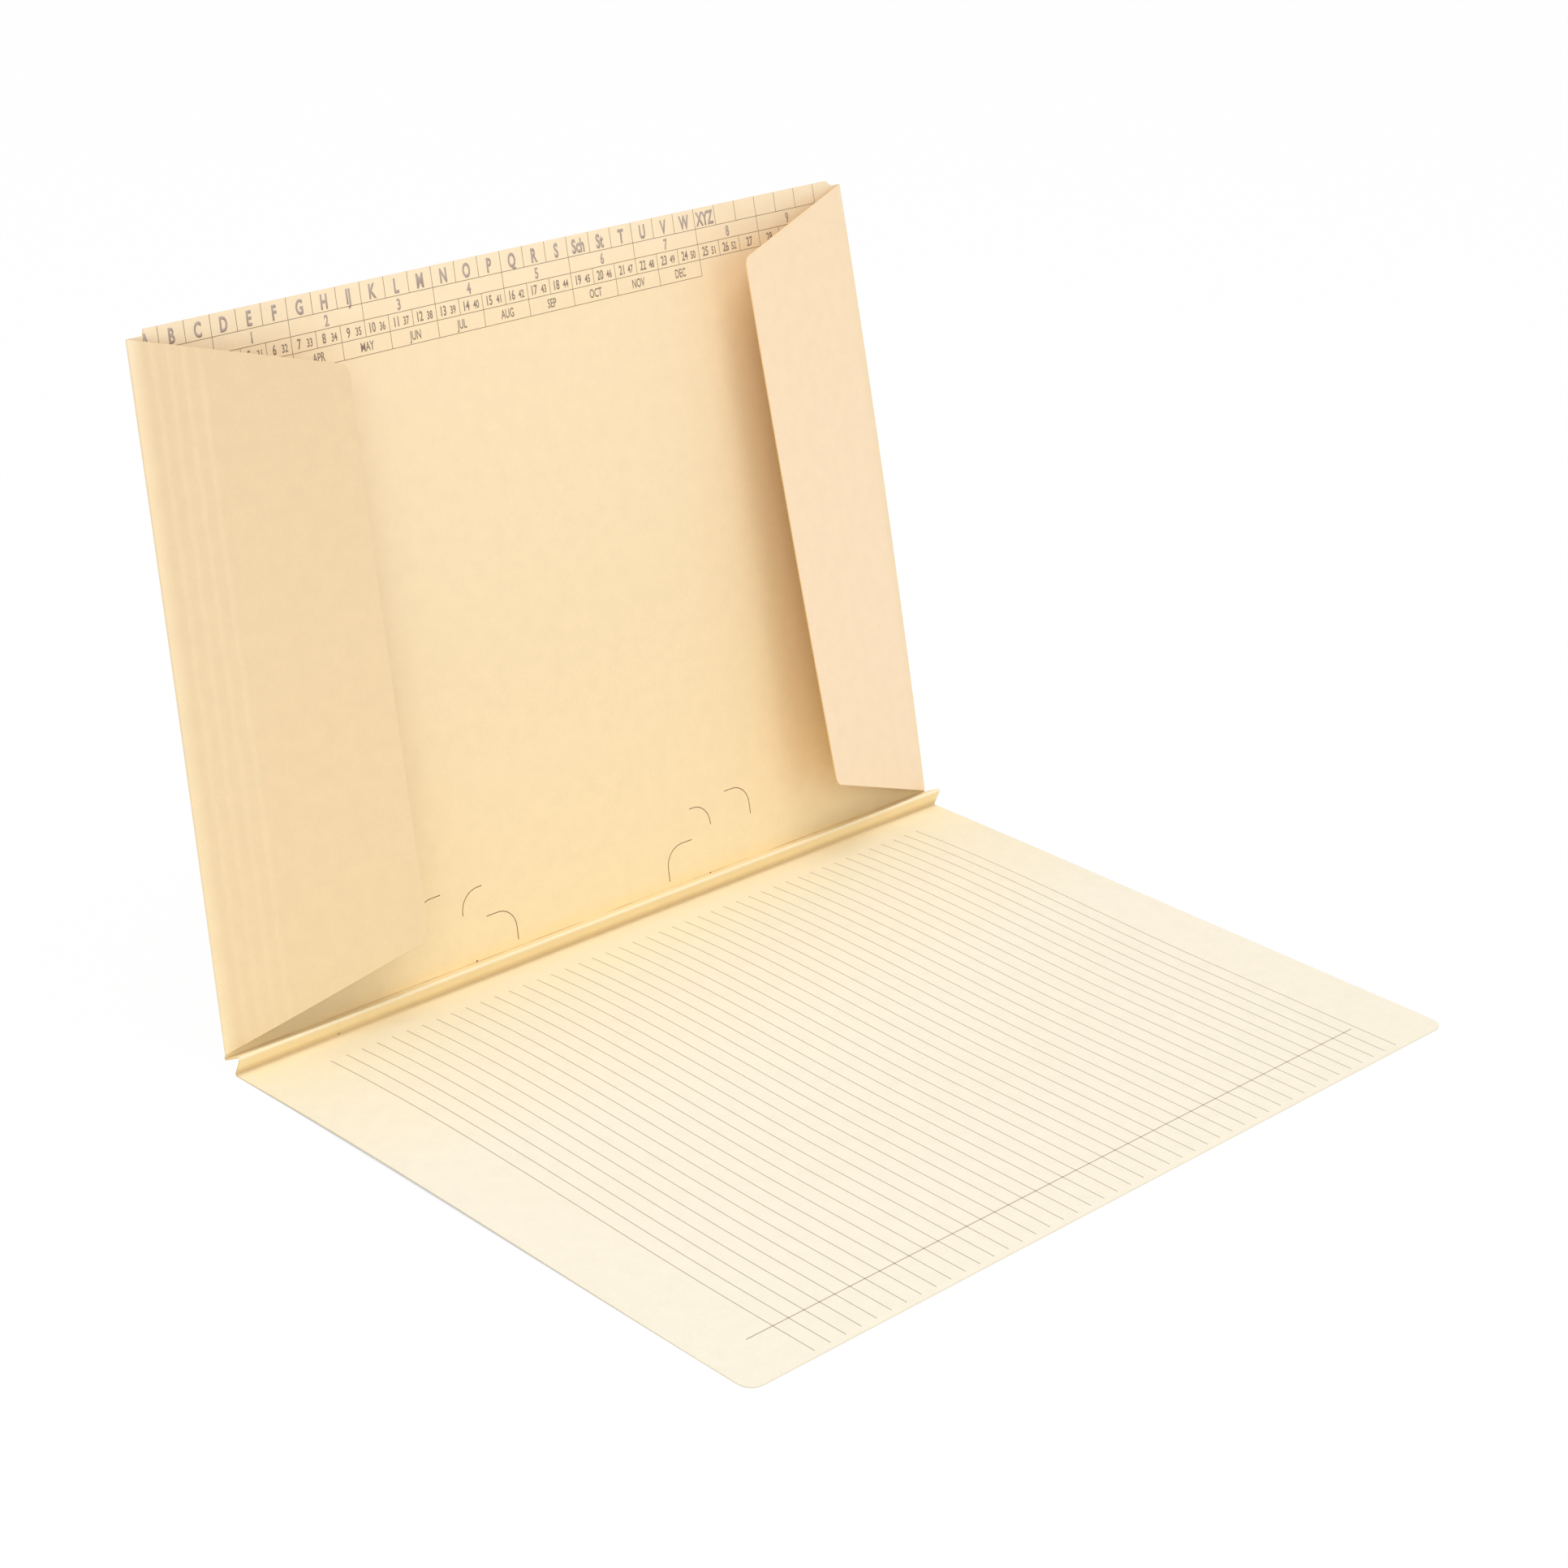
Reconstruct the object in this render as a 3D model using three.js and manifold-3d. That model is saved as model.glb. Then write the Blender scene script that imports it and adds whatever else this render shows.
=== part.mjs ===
import * as THREE from 'three';
import { mergeVertices } from 'three/addons/utils/BufferGeometryUtils.js';
import Module from 'manifold-3d';

// Organizer folder: one die-cut sheet of manila card, creased, folded and standing open.
// Millimetres and degrees. X runs along the spine, Y to the back and Z up from the table.
// Along the back panel, heights are measured up its slope from its bottom crease.

// Card
const cardThickness = 0.4;
const foldInnerRadius = 0.3;

// Front cover, lying on the table with a soft hump in front of the spine
const folderWidth = 350;
const coverDepth = 253.4;
const coverCornerRadius = 5.5;
const humpHeight = 2.3;
const humpLength = 165;
const leftHumpExtraHeight = 1.2;
const leftHumpExtraLength = 80;
const leftHumpWidth = 190;
const edgeFadeWidth = 46;
const leftEdgeShare = 0.4;
const rightEdgeShare = 0.1;

// Spine pleat: a front strip that leans over the cover and a back strip that falls behind it
const pleatFrontWidth = 8.8;
const pleatFrontLean = 20.7;
const pleatBackWidth = 10.1;
const pleatBackFall = 27.8;

// Back panel, leaning back, a little more at its right side than at its left
const backHeight = 249.1;
const backLeanLeft = 9.45;
const backLeanRight = 14.82;
const backBowLeft = 0.5;
const backBowRight = 1.5;

// Index tab, the raised middle stretch of the back panel's top edge
const tabHeight = 2.2;
const tabLeftInset = 7;
const tabRightInset = 4.5;
const tabLeftRun = 0.6;
const tabRightRun = 2.8;

// Side flaps, folded in over the back panel and sprung a little open
const flapWidth = 79;
const leftFlapHingeStart = 2.3;
const rightFlapHingeStart = 0.9;
const leftFlapBottomTaper = 23;
const rightFlapBottomTaper = 24.4;
const leftFlapTopTaper = 21.3;
const rightFlapTopTaper = 18.4;
const flapCornerRadius = 4;
const leftFlapAngleTop = 7.6;
const leftFlapAngleBottom = 17.1;
const rightFlapAngleTop = 15.5;
const rightFlapAngleBottom = 21.4;

// Expansion scores, low beads pressed into the left flap beside its fold
const scoreCount = 4;
const firstScoreDistance = 7.6;
const scoreSpacing = 5.4;
const scoreBeadWidth = 1.4;
const scoreBeadHeight = 0.12;

// Fastener slits: three mirrored pairs of rounded ears in the foot of the back panel.
// Each has a leg at a distance from the middle of the pattern, and a level arm at its top
const slitWidth = 0.5;
const slitCornerRadius = 8;
const slitPatternOffset = -4.8;
const innerSlitDistance = 38;
const innerSlitTop = 16.2;
const innerSlitBottom = 3.1;
const innerSlitArm = 13.4;
const middleSlitDistance = 62;
const middleSlitTop = 28.2;
const middleSlitBottom = 19.4;
const middleSlitArm = 10;
const outerSlitDistance = 83.3;
const outerSlitTop = 30.2;
const outerSlitBottom = 17.8;
const outerSlitArm = 12.2;

// Fineness of the facets
const columnCount = 12;
const coverRowCount = 15;
const panelRowCount = 9;
const foldSteps = 5;
const roundSteps = 5;
const flapColumnCount = 3;

// Worked out from the sizes above
const halfThickness = cardThickness / 2;
const foldRadius = foldInnerRadius + halfThickness;
const foldReach = foldRadius + halfThickness;
const flapFlatWidth = flapWidth - foldReach;
const flatBesideCrease = 4 * foldRadius;
const slitCutDepth = 10 * cardThickness;

// An ear's arm turns away from the middle of the pattern (1) or towards it (-1)
const slitEars = [
  {
    distance: innerSlitDistance, top: innerSlitTop, bottom: innerSlitBottom,
    arm: innerSlitArm, turn: 1,
  },
  {
    distance: middleSlitDistance, top: middleSlitTop, bottom: middleSlitBottom,
    arm: middleSlitArm, turn: -1,
  },
  {
    distance: outerSlitDistance, top: outerSlitTop, bottom: outerSlitBottom,
    arm: outerSlitArm, turn: -1,
  },
];

const degrees = THREE.MathUtils.degToRad;
const mix = THREE.MathUtils.lerp;

function steps(count) {
  return Array.from({ length: count + 1 }, (_, index) => index / count);
}

// Share of the hump that is left beside one side edge of the cover
function edgeFade(fromEdge, share) {
  const near = Math.max(0, 1 - fromEdge / edgeFadeWidth);
  return 1 - (1 - share) * near ** 2;
}

// A hump of height 1 over a length of 1, steep beside the spine and flat at its far end
function humpCurve(along) {
  const steepness = 27 / 4;
  return steepness * along * (1 - along) ** 2;
}

// A shallow arch of height 1 over a length of 1
function bowCurve(along) {
  return 4 * along * (1 - along);
}

// Height of the cover's hump above the table at a distance in front of the spine
function humpAt(x, distance) {
  const nearLeft = Math.max(0, 1 - x / leftHumpWidth) ** 2;
  const length = humpLength + leftHumpExtraLength * nearLeft;
  const height = humpHeight + leftHumpExtraHeight * nearLeft;
  const fade = edgeFade(x, leftEdgeShare) * edgeFade(folderWidth - x, rightEdgeShare);
  return height * humpCurve(Math.min(1, distance / length)) * fade;
}

// Where a round front corner narrows the cover at a distance from its front edge
function cornerInset(fromFront) {
  const into = coverCornerRadius - Math.min(fromFront, coverCornerRadius);
  return coverCornerRadius - Math.sqrt(coverCornerRadius ** 2 - into ** 2);
}

// Rows of the cover from its front edge to just before the spine, as distances from the spine
function coverDistances() {
  const corner = steps(roundSteps).map((turn) => {
    return coverDepth - coverCornerRadius * (1 - Math.cos(turn * Math.PI / 2));
  });
  const flat = steps(coverRowCount).slice(1).map((along) => {
    return mix(coverDepth - coverCornerRadius, flatBesideCrease, along);
  });
  return [...corner, ...flat];
}

function backLeanAt(x) {
  return degrees(mix(backLeanLeft, backLeanRight, x / folderWidth));
}

// A point of the back panel at a height up its slope
function panelPoint(x, height) {
  const lean = backLeanAt(x);
  const along = THREE.MathUtils.clamp(height / backHeight, 0, 1);
  const bow = mix(backBowLeft, backBowRight, x / folderWidth) * bowCurve(along);
  const crease = profileCorners()[2];
  return new THREE.Vector3(
    x,
    crease.x + height * Math.sin(lean) - bow * Math.cos(lean),
    crease.y + height * Math.cos(lean) + bow * Math.sin(lean),
  );
}

// The cover crease, the ridge of the pleat and the bottom crease of the back panel, in Y and Z
function profileCorners() {
  const cover = new THREE.Vector2(0, halfThickness);
  const ridge = new THREE.Vector2(
    cover.x - pleatFrontWidth * Math.sin(degrees(pleatFrontLean)),
    cover.y + pleatFrontWidth * Math.cos(degrees(pleatFrontLean)),
  );
  const back = new THREE.Vector2(
    ridge.x + pleatBackWidth * Math.cos(degrees(pleatBackFall)),
    ridge.y - pleatBackWidth * Math.sin(degrees(pleatBackFall)),
  );
  return [cover, ridge, back];
}

// A crease rounded by an arc that touches both of its straight sides
function roundedCrease(before, corner, after) {
  const incoming = corner.clone().sub(before).normalize();
  const outgoing = after.clone().sub(corner).normalize();
  const turn = Math.atan2(incoming.cross(outgoing), incoming.dot(outgoing));
  const side = Math.sign(turn);
  const tangent = foldRadius * Math.tan(Math.abs(turn) / 2);
  const start = corner.clone().addScaledVector(incoming, -tangent);
  const toCentre = new THREE.Vector2(-incoming.y, incoming.x).multiplyScalar(side * foldRadius);
  const centre = start.clone().add(toCentre);
  return steps(foldSteps).map((along) => start.clone().rotateAround(centre, turn * along));
}

// Top edge of the back panel, with the tab between its two shoulders
function topEdge(x) {
  const rise = (x - tabLeftInset) / tabLeftRun;
  const fall = (folderWidth - tabRightInset - x) / tabRightRun;
  return backHeight + tabHeight * THREE.MathUtils.clamp(Math.min(rise, fall), 0, 1);
}

// The back panel's rows run from the lower ends of the flaps' folds to the shoulders
const panelRowShares = steps(panelRowCount);

function panelRowHeight(x, share) {
  const start = mix(leftFlapHingeStart, rightFlapHingeStart, x / folderWidth);
  return mix(start, backHeight, share);
}

// Columns across the folder, as shares of its width, with one at each end of the tab's slopes
const tabColumns = [
  tabLeftInset,
  tabLeftInset + tabLeftRun,
  folderWidth - tabRightInset - tabRightRun,
  folderWidth - tabRightInset,
].map((x) => (x - foldReach) / (folderWidth - 2 * foldReach));
const columnShares = [
  0,
  ...tabColumns.slice(0, 2),
  ...steps(columnCount).slice(1, -1).map((share) => mix(tabColumns[1], tabColumns[2], share)),
  ...tabColumns.slice(2),
  1,
];

// The sheet's middle surface: points shared by its facets, and facets as loops of four points
const sheetPoints = [];
const sheetQuads = [];

function addPoint(point) {
  sheetPoints.push(point);
  return sheetPoints.length - 1;
}

function addQuads(columns, firstRow, lastRow) {
  for (let column = 0; column + 1 < columns.length; column += 1) {
    for (let row = firstRow; row < lastRow; row += 1) {
      sheetQuads.push([
        columns[column][row],
        columns[column + 1][row],
        columns[column + 1][row + 1],
        columns[column][row + 1],
      ]);
    }
  }
}

// Cover, pleat and back panel: one column of points from the front edge to the top edge
function mainColumn(share) {
  const distances = coverDistances();
  const points = distances.map((distance) => {
    const inset = cornerInset(coverDepth - distance);
    const x = mix(inset, folderWidth - inset, share);
    return new THREE.Vector3(x, -distance, halfThickness + humpAt(x, distance));
  });
  const pleatX = folderWidth * share;
  const lastCover = points[points.length - 1];
  const panelX = mix(foldReach, folderWidth - foldReach, share);
  const panelFoot = panelPoint(panelX, panelRowHeight(panelX, 0));
  const corners = [
    new THREE.Vector2(lastCover.y, lastCover.z),
    ...profileCorners(),
    new THREE.Vector2(panelFoot.y, panelFoot.z),
  ];
  for (let index = 1; index < corners.length - 1; index += 1) {
    const crease = roundedCrease(corners[index - 1], corners[index], corners[index + 1]);
    points.push(...crease.map((point) => new THREE.Vector3(pleatX, point.x, point.y)));
  }
  for (const rowShare of panelRowShares.slice(0, -1)) {
    points.push(panelPoint(panelX, panelRowHeight(panelX, rowShare)));
  }
  points.push(panelPoint(panelX, topEdge(panelX)));
  return points.map(addPoint);
}

// Lower or upper end of a flap at a distance from its fold, with its free corner rounded.
// reach is how far the end has drawn in at the free edge
function flapEnd(distance, reach) {
  const slope = reach / flapFlatWidth;
  const centreDistance = flapFlatWidth - flapCornerRadius;
  const stretch = Math.hypot(1, slope);
  const touch = centreDistance + flapCornerRadius * slope / stretch;
  if (distance <= touch) return slope * distance;
  const beyond = Math.min(flapCornerRadius, distance - centreDistance);
  const centreHeight = slope * centreDistance + flapCornerRadius * stretch;
  return centreHeight - Math.sqrt(flapCornerRadius ** 2 - beyond ** 2);
}

// How far a flap has sprung open from the back panel at a height
function flapAngle(flap, height) {
  const fromTop = 1 - height / backHeight;
  return degrees(mix(flap.angleTop, flap.angleBottom, fromTop ** 2));
}

// A pressed bead lifts the flap's face along each score
function scoreBead(flap, distance) {
  if (!flap.scored) return 0;
  const nearest = THREE.MathUtils.clamp(
    Math.round((distance - firstScoreDistance) / scoreSpacing), 0, scoreCount - 1);
  const away = Math.abs(distance - firstScoreDistance - nearest * scoreSpacing);
  return scoreBeadHeight * Math.max(0, 1 - 2 * away / scoreBeadWidth);
}

// Where a flap's columns lie: its scores, its plain face, and its rounded corners
function flapColumnDistances(flap) {
  const scores = [];
  if (flap.scored) {
    for (let index = 0; index < scoreCount; index += 1) {
      const centre = firstScoreDistance + index * scoreSpacing;
      scores.push(centre - scoreBeadWidth / 2, centre, centre + scoreBeadWidth / 2);
    }
  }
  const flatStart = scores.length > 0 ? scores[scores.length - 1] : 0;
  const flatEnd = flapFlatWidth - flapCornerRadius;
  const flat = steps(flapColumnCount).slice(1).map((share) => mix(flatStart, flatEnd, share));
  const corner = steps(roundSteps).slice(1).map((turn) => {
    return flatEnd + flapCornerRadius * Math.sin(turn * Math.PI / 2);
  });
  return [...scores, ...flat, ...corner];
}

// The directions at a flap's fold: outward along the spine, and forward off the back panel
function foldDirections(flap) {
  const lean = backLeanAt(flap.edgeX);
  return {
    outward: new THREE.Vector3(flap.side, 0, 0),
    forward: new THREE.Vector3(0, -Math.cos(lean), Math.sin(lean)),
  };
}

// A point of the round fold, once it has turned in from the back panel by an angle
function foldPoint(flap, height, turn) {
  const { outward, forward } = foldDirections(flap);
  return panelPoint(flap.edgeX, height)
    .addScaledVector(outward, foldRadius * Math.sin(turn))
    .addScaledVector(forward, foldRadius * (1 - Math.cos(turn)));
}

// A point of the flap at a distance from its fold
function flapPoint(flap, height, distance) {
  const { outward, forward } = foldDirections(flap);
  const angle = flapAngle(flap, height);
  const bead = scoreBead(flap, distance);
  return foldPoint(flap, height, Math.PI - angle)
    .addScaledVector(outward, -distance * Math.cos(angle) + bead * Math.sin(angle))
    .addScaledVector(forward, distance * Math.sin(angle) + bead * Math.cos(angle));
}

// Columns of a flap, from the fold round to the free edge
function flapColumns(flap, rowOffset) {
  const columns = [];
  for (const share of steps(foldSteps + 1).slice(1)) {
    const column = [];
    panelRowShares.forEach((rowShare, row) => {
      const height = panelRowHeight(flap.edgeX, rowShare);
      const turn = (Math.PI - flapAngle(flap, height)) * share;
      column[rowOffset + row] = addPoint(foldPoint(flap, height, turn));
    });
    columns.push(column);
  }
  for (const distance of flapColumnDistances(flap)) {
    const low = panelRowHeight(flap.edgeX, 0) + flapEnd(distance, flap.bottomTaper);
    const high = backHeight - flapEnd(distance, flap.topTaper);
    const column = [];
    panelRowShares.forEach((rowShare, row) => {
      column[rowOffset + row] = addPoint(flapPoint(flap, mix(low, high, rowShare), distance));
    });
    columns.push(column);
  }
  return columns;
}

const leftFlap = {
  side: -1,
  edgeX: foldReach,
  bottomTaper: leftFlapBottomTaper,
  topTaper: leftFlapTopTaper,
  angleTop: leftFlapAngleTop,
  angleBottom: leftFlapAngleBottom,
  scored: true,
};
const rightFlap = {
  side: 1,
  edgeX: folderWidth - foldReach,
  bottomTaper: rightFlapBottomTaper,
  topTaper: rightFlapTopTaper,
  angleTop: rightFlapAngleTop,
  angleBottom: rightFlapAngleBottom,
  scored: false,
};

const mainColumns = columnShares.map(mainColumn);
const topRow = mainColumns[0].length - 1;
const hingeRow = topRow - panelRowCount;
addQuads(mainColumns, 0, topRow);
const leftColumns = [...flapColumns(leftFlap, hingeRow).reverse(), mainColumns[0]];
addQuads(leftColumns, hingeRow, topRow);
const rightColumns = [mainColumns[mainColumns.length - 1], ...flapColumns(rightFlap, hingeRow)];
addQuads(rightColumns, hingeRow, topRow);

// Gives the middle surface its thickness: two faces half a thickness off it, joined at the edges
function thickenedSheet() {
  const normals = sheetPoints.map(() => new THREE.Vector3());
  for (const [a, b, c, d] of sheetQuads) {
    const across = sheetPoints[c].clone().sub(sheetPoints[a]);
    const other = sheetPoints[d].clone().sub(sheetPoints[b]);
    const normal = across.cross(other).normalize();
    for (const index of [a, b, c, d]) normals[index].add(normal);
  }
  const count = sheetPoints.length;
  const positions = [];
  for (const offset of [halfThickness, -halfThickness]) {
    sheetPoints.forEach((point, index) => {
      const moved = point.clone().addScaledVector(normals[index].clone().normalize(), offset);
      positions.push(moved.x, moved.y, moved.z);
    });
  }
  const triangles = [];
  const edges = new Map();
  for (const quad of sheetQuads) {
    const [a, b, c, d] = quad;
    triangles.push(a, b, c, a, c, d);
    triangles.push(count + c, count + b, count + a, count + d, count + c, count + a);
    quad.forEach((from, corner) => {
      const to = quad[(corner + 1) % quad.length];
      if (!edges.delete(`${to},${from}`)) edges.set(`${from},${to}`, [from, to]);
    });
  }
  for (const [from, to] of edges.values()) {
    triangles.push(to, from, count + from, to, count + from, count + to);
  }
  const geometry = new THREE.BufferGeometry();
  geometry.setAttribute('position', new THREE.Float32BufferAttribute(positions, 3));
  geometry.setIndex(triangles);
  return geometry;
}

// Outline of one slit: its level arm, its round corner and its leg, a narrow width apart
function slitShape(ear, mirror) {
  const legX = ear.distance * mirror;
  const point = (along, height) => {
    return new THREE.Vector2(legX + ear.turn * mirror * along, height);
  };
  const side = (offset) => {
    const radius = slitCornerRadius + offset;
    const arc = steps(roundSteps).map((turn) => {
      const angle = turn * Math.PI / 2;
      const along = slitCornerRadius - radius * Math.sin(angle);
      return point(along, ear.top - slitCornerRadius + radius * Math.cos(angle));
    });
    return [point(ear.arm, ear.top + offset), ...arc, point(-offset, ear.bottom)];
  };
  return new THREE.Shape([...side(slitWidth / 2), ...side(-slitWidth / 2).reverse()]);
}

// A cutter that stands square through the leaning back panel
function slitCutter(ear, mirror) {
  const geometry = new THREE.ExtrudeGeometry(slitShape(ear, mirror), {
    depth: slitCutDepth,
    bevelEnabled: false,
  });
  const centreX = folderWidth / 2 + slitPatternOffset;
  const lean = backLeanAt(centreX + mirror * ear.distance);
  const right = new THREE.Vector3(1, 0, 0);
  const up = new THREE.Vector3(0, Math.sin(lean), Math.cos(lean));
  const forward = new THREE.Vector3().crossVectors(right, up);
  const foot = panelPoint(centreX, 0).addScaledVector(forward, -slitCutDepth / 2);
  geometry.applyMatrix4(new THREE.Matrix4().makeBasis(right, up, forward).setPosition(foot));
  return geometry;
}

const wasm = await Module();
wasm.setup();
const mergeDistance = 1e-5;

// A solid for cutting, from a closed mesh whose facets share their corners
function solidOf(geometry) {
  const plain = geometry.clone();
  plain.deleteAttribute('normal');
  plain.deleteAttribute('uv');
  const merged = mergeVertices(plain, mergeDistance);
  return new wasm.Manifold(new wasm.Mesh({
    numProp: 3,
    vertProperties: new Float32Array(merged.attributes.position.array),
    triVerts: new Uint32Array(merged.index.array),
  }));
}

// The cut solid as a mesh again
function geometryOf(solid) {
  const mesh = solid.getMesh();
  const geometry = new THREE.BufferGeometry();
  geometry.setAttribute('position', new THREE.BufferAttribute(mesh.vertProperties, 3));
  geometry.setIndex(new THREE.BufferAttribute(mesh.triVerts, 1));
  geometry.computeVertexNormals();
  return geometry;
}

let sheet = solidOf(thickenedSheet());
for (const ear of slitEars) {
  for (const mirror of [-1, 1]) {
    sheet = sheet.subtract(solidOf(slitCutter(ear, mirror)));
  }
}

const manilaCard = new THREE.MeshStandardMaterial({ color: '#f8e2bc', roughness: 0.85, metalness: 0 });
const foldedCard = new THREE.Mesh(geometryOf(sheet), manilaCard);
foldedCard.name = 'folded_card';

// The origin is on the table, under the middle of the standing folder
foldedCard.geometry.computeBoundingBox();
const middle = foldedCard.geometry.boundingBox.getCenter(new THREE.Vector3());
foldedCard.position.set(-middle.x, -middle.y, -foldedCard.geometry.boundingBox.min.z);

const folder = new THREE.Group();
folder.name = 'organizer_folder';
folder.add(foldedCard);

export default folder;
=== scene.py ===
import math

import bpy
from mathutils import Matrix, Vector


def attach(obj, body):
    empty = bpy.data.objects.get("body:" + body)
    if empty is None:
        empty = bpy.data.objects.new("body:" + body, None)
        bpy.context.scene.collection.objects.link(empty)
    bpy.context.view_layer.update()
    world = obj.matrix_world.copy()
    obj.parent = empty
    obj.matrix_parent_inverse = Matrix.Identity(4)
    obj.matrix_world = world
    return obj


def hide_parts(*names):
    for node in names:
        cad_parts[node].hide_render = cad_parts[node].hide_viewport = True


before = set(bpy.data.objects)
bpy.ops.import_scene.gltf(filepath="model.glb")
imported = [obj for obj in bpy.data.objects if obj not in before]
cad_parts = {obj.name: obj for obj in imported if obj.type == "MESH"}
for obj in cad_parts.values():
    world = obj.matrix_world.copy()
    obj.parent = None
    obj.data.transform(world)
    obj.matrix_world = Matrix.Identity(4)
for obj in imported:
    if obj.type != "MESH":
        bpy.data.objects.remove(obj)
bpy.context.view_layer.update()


# Folded card. One sheet of manila card, die-cut flat, scored, creased and folded by hand.
# The blank is laid out as a grid, extruded at its sides for the flaps, then folded up.
# Its lengths are in millimetres, from the left end of the cover's crease on the table.
card_thickness = 0.4
half_thickness = card_thickness / 2
fold_radius = 0.5
fold_reach = fold_radius + half_thickness
folder_width = 350
crease_to_origin = Vector((-175, 91.79, 0))


def mix(start, end, share):
    return start + (end - start) * share


def limit(value, low=0.0, high=1.0):
    return max(low, min(high, value))


def in_metres(point):
    return (Vector(point) + crease_to_origin) / 1000


# The cover lies on the table, but swells a little in front of the spine, most at its left
cover_depth = 253.4
cover_corner = 5.5
swell_height = 2.3
swell_length = 165
left_extra_height = 1.2
left_extra_length = 80
left_part_width = 190
side_fade_width = 46
left_side_share = 0.4
right_side_share = 0.1


def side_fade(from_side, share):
    near = max(0, 1 - from_side / side_fade_width)
    return 1 - (1 - share) * near**2


def swell(x, distance):
    """The cover's height above the table. Its curve along the cover rises from 0 to 1 and back."""
    near_left = max(0, 1 - x / left_part_width) ** 2
    along = min(1, distance / (swell_length + left_extra_length * near_left))
    curve = 27 / 4 * along * (1 - along) ** 2
    fade = side_fade(x, left_side_share) * side_fade(folder_width - x, right_side_share)
    return (swell_height + left_extra_height * near_left) * curve * fade


def cover_point(x, distance, lift=0.0):
    return Vector((x, -distance, half_thickness + swell(x, distance) + lift))


# The spine is a pleat: its front strip leans over the cover up to a ridge, and its back strip
# falls behind it to the foot of the back panel
front_strip = 8.8
front_strip_lean = math.radians(20.7)
back_strip = 10.1
back_strip_fall = math.radians(27.8)
panel_start = front_strip + back_strip
pleat_ridge = (-front_strip * math.sin(front_strip_lean),
               half_thickness + front_strip * math.cos(front_strip_lean))
pleat_foot = (pleat_ridge[0] + back_strip * math.cos(back_strip_fall),
              pleat_ridge[1] - back_strip * math.sin(back_strip_fall))

# The back panel leans back more at its right than at its left, and is bowed forward a little.
# A tab rises along its top, and the flaps' folds start just above its crease.
back_height = 249.1
left_lean, right_lean = 9.45, 14.82
left_bow, right_bow = 0.5, 1.5
left_fold_start, right_fold_start = 2.3, 0.9
tab_height = 2.2
tab_left, tab_left_slope = 7, 0.6
tab_right, tab_right_slope = 345.5, 2.8


def back_lean(x):
    return math.radians(mix(left_lean, right_lean, x / folder_width))


def fold_start(x):
    return mix(left_fold_start, right_fold_start, x / folder_width)


def panel_point(x, height, lift=0.0):
    lean = back_lean(x)
    along = limit(height / back_height)
    forward = mix(left_bow, right_bow, x / folder_width) * 4 * along * (1 - along) + lift
    return Vector((
        x,
        pleat_foot[0] + height * math.sin(lean) - forward * math.cos(lean),
        pleat_foot[1] + height * math.cos(lean) + forward * math.sin(lean),
    ))


def rounded_crease(before, corner, after, steps):
    before, corner, after = Vector(before), Vector(corner), Vector(after)
    incoming, outgoing = (corner - before).normalized(), (after - corner).normalized()
    turn = math.atan2(incoming.x * outgoing.y - incoming.y * outgoing.x,
                      incoming.dot(outgoing))
    side = math.copysign(1, turn)
    start = corner - incoming * fold_radius * math.tan(abs(turn) / 2)
    centre = start + Vector((-incoming.y, incoming.x)) * side * fold_radius
    return [centre + Matrix.Rotation(turn * step / steps, 2) @ (start - centre)
            for step in range(steps + 1)]


# The rows of the blank's grid run from the front of the cover to the top of the panel, where
# the last two are the foot and the top of the tab. Four columns stand at the tab's slanted ends.
columns = 56
corner_rows = 6
cover_rows = 44
crease_steps = 8
panel_rows = 41
tab_foot_share = 0.9992
cover_end = 4 * fold_radius
crease_width = 2 * fold_radius
row_shares = [step / (panel_rows - 1) * tab_foot_share for step in range(panel_rows)] + [1]
tab_columns = [tab_left, tab_left + tab_left_slope, tab_right - tab_right_slope, tab_right]
shares = [0] + [(x - fold_reach) / (folder_width - 2 * fold_reach) for x in tab_columns] + [1]
inner = [mix(shares[2], shares[3], step / (columns - 4)) for step in range(1, columns - 4)]
column_shares = shares[:3] + inner + shares[3:]


def folded_column(share):
    """One column of the grid: each point's place on the folder, and on the flat blank."""
    rows = []
    corner = [cover_depth - cover_corner * (1 - math.cos(step / corner_rows * math.pi / 2))
              for step in range(corner_rows + 1)]
    flat = [mix(cover_depth - cover_corner, cover_end, (step + 1) / cover_rows)
            for step in range(cover_rows)]
    for distance in corner + flat:
        into = cover_corner - min(cover_depth - distance, cover_corner)
        inset = cover_corner - math.sqrt(cover_corner**2 - into**2)
        x = mix(inset, folder_width - inset, share)
        rows.append((cover_point(x, distance), (x, -distance)))
    x = folder_width * share
    panel_x = mix(fold_reach, folder_width - fold_reach, share)
    foot = fold_start(panel_x)
    last, first = rows[-1][0], panel_point(panel_x, foot)
    corners = [(last.y, last.z), (0, half_thickness), pleat_ridge, pleat_foot,
               (first.y, first.z)]
    for index, laid in enumerate((0, front_strip, panel_start)):
        for step, point in enumerate(rounded_crease(*corners[index:index + 3], crease_steps)):
            along = laid + (step / crease_steps - 0.5) * crease_width
            rows.append((Vector((x, point.x, point.y)), (x, along)))
    for row_share in row_shares:
        height = mix(foot, back_height, row_share)
        if row_share == 1:
            height += tab_height * limit(min((panel_x - tab_left) / tab_left_slope,
                                             (tab_right - panel_x) / tab_right_slope))
        rows.append((panel_point(panel_x, height), (panel_x, panel_start + height)))
    return rows


main_rows = len(folded_column(0)) - 1
hinge_row = main_rows - panel_rows

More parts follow.
